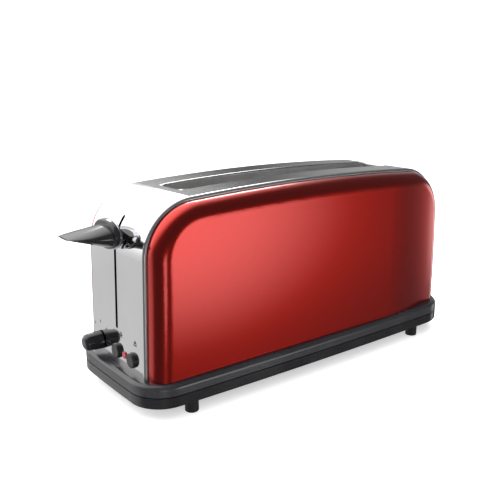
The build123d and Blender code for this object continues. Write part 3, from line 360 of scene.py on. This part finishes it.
def heating_alloy():
    ribbon = Surface("heating_alloy_finish")
    ribbon.settle(Metallic=0.9)
    ribbon.colour(ribbon.noise(120.0, 5.0), (0.20, 0.17, 0.14), (0.42, 0.38, 0.34))
    ribbon.roughness(ribbon.noise(300.0), 0.35, 0.55)
    ribbon.relief((ribbon.noise(800.0), 0.15, 0.0001))
    return ribbon.material


def plain_steel():
    steel = Surface("plain_steel_finish")
    steel.settle(Metallic=1.0)
    steel.colour(steel.noise(60.0, 5.0), (0.42, 0.42, 0.43), (0.58, 0.58, 0.57))
    steel.roughness(steel.noise(340.0), 0.24, 0.40)
    steel.relief((steel.noise(900.0), 0.15, 0.0001))
    return steel.material


def coil_copper():
    """Enamelled winding: fine level turns."""
    coil = Surface("coil_copper_finish")
    turns = coil.nodes.new("ShaderNodeTexWave")
    turns.bands_direction = "Z"
    turns.inputs["Scale"].default_value = 620.0
    turns.inputs["Distortion"].default_value = 0.6
    coil.links.new(coil.place, turns.inputs["Vector"])
    coil.settle(Metallic=0.8, Coat_Weight=0.5)
    coil.colour(turns.outputs["Fac"], (0.32, 0.12, 0.05), (0.68, 0.30, 0.13))
    coil.roughness(coil.noise(200.0), 0.20, 0.32)
    coil.relief((turns.outputs["Fac"], 0.5, 0.0003))
    return coil.material


def board_laminate():
    """Printed board: tan laminate with a faint glass weave."""
    board = Surface("board_laminate_finish")
    weave = board.nodes.new("ShaderNodeTexChecker")
    weave.inputs["Scale"].default_value = 1400.0
    board.links.new(board.place, weave.inputs["Vector"])
    board.settle(Specular_IOR_Level=0.5)
    board.colour(board.noise(130.0, 4.0), (0.22, 0.16, 0.06), (0.34, 0.26, 0.11))
    board.roughness(board.noise(90.0), 0.28, 0.42)
    board.relief((weave.outputs["Fac"], 0.1, 0.0001))
    return board.material


def red_lens():
    lens = Surface("red_lens_finish")
    lens.settle(Transmission_Weight=0.35, IOR=1.49, Coat_Weight=0.5)
    lens.colour(lens.noise(260.0, 3.0), (0.42, 0.035, 0.060), (0.60, 0.070, 0.100))
    lens.roughness(lens.noise(420.0), 0.12, 0.24)
    lens.relief((lens.noise(900.0), 0.08, 0.0001))
    return lens.material


def print_ink():
    """Pad-printed dark ink with slightly uneven cover."""
    ink = Surface("print_ink_finish")
    ink.colour(ink.noise(900.0, 4.0), (0.035, 0.035, 0.038), (0.070, 0.070, 0.074))
    ink.roughness(ink.noise(1200.0), 0.40, 0.60)
    ink.relief((ink.noise(2500.0), 0.1, 0.00003))
    return ink.material


FINISHES = {
    "base_plastic": base_plastic,
    "foot_rubber": foot_rubber,
    "polished_steel": polished_steel,
    "bright_trim": bright_trim,
    "red_lacquer": red_lacquer,
    "plated_sheet": plated_sheet,
    "guide_wire": guide_wire,
    "mica": mica,
    "heating_alloy": heating_alloy,
    "plain_steel": plain_steel,
    "coil_copper": coil_copper,
    "board_laminate": board_laminate,
    "inner_plastic": inner_plastic,
    "gloss_black": gloss_black,
    "button_black": button_black,
    "red_lens": red_lens,
}


def dress_frame():
    """Give every CAD node the finish of its material slot in the record."""
    made = {slot: make() for slot, make in FINISHES.items()}
    for row in frame["record"]["subparts"]:
        node = frame["nodes"][row["node"]]
        node.data.materials.clear()
        node.data.materials.append(made[row["material_slot"]])
    tray_finish = tray_plastic()
    for name in ("base_tray", "crumb_handle"):
        frame["nodes"][name].data.materials[0] = tray_finish


# --- Printed marks ----------------------------------------------------------------------------


def face_point(y, z):
    """Where the front end's sheet lies at a place across and up."""
    band = frame["nodes"]["steel_band"]
    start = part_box("steel_band")[0].x - RAY_START
    hit, place, _, _ = band.ray_cast(Vector((start, y, z)), Vector((1, 0, 0)))
    return place if hit else Vector((start + RAY_START, y, z))


def printed(name, outlines, y, z, ink):
    """Thin ink film on the front end, from closed outlines drawn round one place."""
    curve = bpy.data.curves.new(name, "CURVE")
    curve.dimensions = "2D"
    curve.fill_mode = "BOTH"
    curve.extrude = PRINT_THICKNESS / 2
    for outline in outlines:
        spline = curve.splines.new("POLY")
        spline.points.add(len(outline) - 1)
        for point, (across, up) in zip(spline.points, outline):
            point.co = (across, up, 0.0, 1.0)
        spline.use_cyclic_u = True
    drawn = bpy.data.objects.new(name + "_drawing", curve)
    bpy.context.scene.collection.objects.link(drawn)
    bpy.context.view_layer.update()
    mesh = bpy.data.meshes.new_from_object(drawn.evaluated_get(bpy.context.evaluated_depsgraph_get()))
    bpy.data.objects.remove(drawn)
    bpy.data.curves.remove(curve)
    # the drawing's right is -Y and its up leans with the sheet
    low = face_point(y, z - PRINT_SPAN)
    high = face_point(y, z + PRINT_SPAN)
    up = (high - low).normalized()
    right = Vector((0, -1, 0))
    outward = right.cross(up)
    centre = (low + high) / 2 + outward * (PRINT_STAND + PRINT_THICKNESS / 2)
    for vertex in mesh.vertices:
        across, rise, lift = vertex.co
        vertex.co = centre + right * across + up * rise + outward * lift
    mesh.materials.clear()
    mesh.materials.append(ink)
    piece = bpy.data.objects.new(name, mesh)
    bpy.context.scene.collection.objects.link(piece)
    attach(piece, "housing")


def bar(x, y, length, width, turn):
    """Outline of a short stroke centred at (x, y) and turned by an angle."""
    along = Vector((math.cos(turn), math.sin(turn))) * length / 2
    side = Vector((-math.sin(turn), math.cos(turn))) * width / 2
    middle = Vector((x, y))
    return [tuple(middle + a * along + b * side) for a, b in ((-1, -1), (1, -1), (1, 1), (-1, 1))]


def knob_ticks():
    """Browning scale: short strokes fanned round the knob, open at the bottom."""
    strokes = []
    for i in range(TICK_COUNT):
        turn = math.radians(90 + TICK_SWEEP / 2 - TICK_SWEEP * i / (TICK_COUNT - 1))
        reach = TICK_LENGTH * (0.7 + 0.6 * i / (TICK_COUNT - 1))
        distance = TICK_RADIUS + reach / 2
        strokes.append(bar(distance * math.cos(turn), distance * math.sin(turn), reach, TICK_WIDTH, turn))
    return strokes


def flake_symbol(radius):
    """Six-armed frost mark."""
    return [bar(0, 0, 2 * radius, radius * 0.22, math.pi * i / 3) for i in range(3)]


def eject_symbol(size):
    triangle = [(-size, -size * 0.2), (size, -size * 0.2), (0, size)]
    return [triangle, bar(0, -size * 0.75, 2 * size, size * 0.4, 0.0)]


def bread_symbol(size):
    """Outline of a slice of bread."""
    half = [(0.7, -0.8), (0.7, 0.35), (0.95, 0.6), (0.7, 0.95)]
    slice_outline = half + [(-x, y) for x, y in reversed(half)]
    outer = [(size * x, size * y) for x, y in slice_outline]
    shrunk = size * SLICE_STROKE
    inner = [(shrunk * x, shrunk * y + SLICE_LIFT * size) for x, y in slice_outline]
    return [outer, inner]


def middle_of(name):
    low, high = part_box(name)
    return (low + high) / 2


def add_printed_marks():
    ink = print_ink()
    knob = middle_of("browning_knob")
    frost_y = middle_of("defrost_button").y - FROST_SHIFT
    eject_y = middle_of("cancel_button").y - EJECT_SHIFT
    printed("browning_scale", knob_ticks(), knob.y, knob.z, ink)
    printed("frost_symbol", flake_symbol(FROST_RADIUS), frost_y, SYMBOL_Z, ink)
    printed("eject_symbol", eject_symbol(EJECT_SIZE), eject_y, SYMBOL_Z, ink)
    printed("bread_symbol", bread_symbol(BREAD_SYMBOL_SIZE), BREAD_SYMBOL_Y, BREAD_SYMBOL_Z, ink)


# --- Studio -----------------------------------------------------------------------------------


def paper_white(name, glow):
    paper = Surface(name)
    paper.colour(paper.noise(3.0, 2.0), (0.90, 0.90, 0.90), (0.93, 0.93, 0.93))
    paper.roughness(paper.noise(8.0), 0.85, 0.95)
    paper.relief((paper.noise(400.0), 0.02, 0.0002))
    paper.settle(Emission_Color=(1.0, 1.0, 1.0, 1.0), Emission_Strength=glow)
    return paper.material


def swept(name, profile, material, steps=96):
    """Mesh turned about the vertical from a list of (radius, height)."""
    points = []
    faces = []
    for i in range(steps):
        turn = 2 * math.pi * i / steps
        points += [(r * math.cos(turn), r * math.sin(turn), z) for r, z in profile]
    rows = len(profile)
    for i in range(steps):
        for j in range(rows - 1):
            a = i * rows + j
            b = (i + 1) % steps * rows + j
            faces.append((a, b, b + 1, a + 1))
    mesh = bpy.data.meshes.new(name)
    mesh.from_pydata(points, [], faces)
    mesh.materials.append(material)
    shape = bpy.data.objects.new(name, mesh)
    bpy.context.scene.collection.objects.link(shape)
    return shape


def add_studio():
    """Pale floor, and a white wall far behind it that only the camera sees."""
    floor_profile = [(0.001, 0.0), (1.0, 0.0), (FLOOR_RADIUS, 0.0)]
    floor = swept("studio_floor", floor_profile, paper_white("floor_paper", FLOOR_GLOW))
    floor.visible_glossy = False
    wall_profile = [(FLOOR_RADIUS, 0.0), (FLOOR_RADIUS, WALL_HEIGHT)]
    wall = swept("studio_wall", wall_profile, paper_white("wall_paper", WALL_GLOW))
    for kind in ("visible_glossy", "visible_diffuse", "visible_shadow", "visible_transmission"):
        setattr(wall, kind, False)


def direction(azimuth, elevation):
    """Unit vector for a compass direction in degrees, measured from +X towards +Y."""
    a = math.radians(azimuth)
    e = math.radians(elevation)
    return Vector((math.cos(a) * math.cos(e), math.sin(a) * math.cos(e), math.sin(e)))


# Soft sources round the object: azimuth, elevation, half-width where it is full, half-width where it
# ends (all in degrees), and strength
GLOWS = (
    (125, -18, 24, 46, 0.55),
    (-62, -8, 2, 18, 2.1),
    (-112, -12, 4, 13, 1.7),
    (-6, -8, 6, 15, 1.7),
    (108, 46, 18, 62, 1.7),
    (30, 7, 4, 24, 0.30),
    (57, 27, 7, 13, 6.0),
)


# Soft square lights: name, azimuth, elevation, distance, size, power
LIGHTS = (
    ("key_light", 250, 48, 2.0, 1.4, 22),
    ("fill_light", 160, 35, 2.2, 1.6, 14),
    ("top_light", 20, 75, 2.2, 1.6, 34),
)


def add_world():
    """Surroundings that light the object and show in its polish: a dim room with soft boxes."""
    world = bpy.data.worlds.new("studio_surroundings")
    bpy.context.scene.world = world
    world.use_nodes = True
    nodes = world.node_tree.nodes
    links = world.node_tree.links
    background = nodes["Background"]
    background.inputs["Color"].default_value = (1.0, 1.0, 1.0, 1.0)
    place = nodes.new("ShaderNodeTexCoord").outputs["Generated"]
    total = None
    for azimuth, elevation, full, end, strength in GLOWS:
        facing = nodes.new("ShaderNodeVectorMath")
        facing.operation = "DOT_PRODUCT"
        links.new(place, facing.inputs[0])
        facing.inputs[1].default_value = direction(azimuth, elevation)
        glow = nodes.new("ShaderNodeMapRange")
        glow.interpolation_type = "SMOOTHSTEP"
        glow.inputs["From Min"].default_value = math.cos(math.radians(end))
        glow.inputs["From Max"].default_value = math.cos(math.radians(full))
        glow.inputs["To Max"].default_value = strength
        links.new(facing.outputs["Value"], glow.inputs["Value"])
        if total is None:
            total = glow.outputs["Result"]
            continue
        joined = nodes.new("ShaderNodeMath")
        links.new(total, joined.inputs[0])
        links.new(glow.outputs["Result"], joined.inputs[1])
        total = joined.outputs["Value"]
    lifted = nodes.new("ShaderNodeMath")
    links.new(total, lifted.inputs[0])
    lifted.inputs[1].default_value = WORLD_BASE
    links.new(lifted.outputs["Value"], background.inputs["Strength"])


def add_light(name, azimuth, elevation, distance, size, power):
    """Soft square light aimed at the middle of the toaster."""
    low, high = cad_box
    target = (Vector(low) + Vector(high)) / 2
    lamp = bpy.data.lights.new(name, "AREA")
    lamp.size = size
    lamp.energy = power
    holder = bpy.data.objects.new(name, lamp)
    bpy.context.scene.collection.objects.link(holder)
    way = direction(azimuth, elevation)
    holder.location = target + way * distance
    holder.rotation_euler = way.to_track_quat("Z", "Y").to_euler()
    holder.visible_camera = False
    holder.visible_glossy = False


def add_camera():
    camera = bpy.data.cameras.new("camera")
    camera.lens = CAMERA_LENS
    camera.sensor_width = 36.0
    camera.clip_start = 0.02
    camera.clip_end = 40.0
    holder = bpy.data.objects.new("camera", camera)
    holder.location = CAMERA_PLACE
    holder.rotation_euler = (math.pi / 2 + CAMERA_PITCH, 0.0, CAMERA_AZIMUTH - math.pi / 2)
    bpy.context.scene.collection.objects.link(holder)
    bpy.context.scene.camera = holder


dress_frame()
add_printed_marks()
add_studio()
add_world()
for light in LIGHTS:
    add_light(*light)
add_camera()
bpy.context.scene.view_settings.view_transform = "Standard"
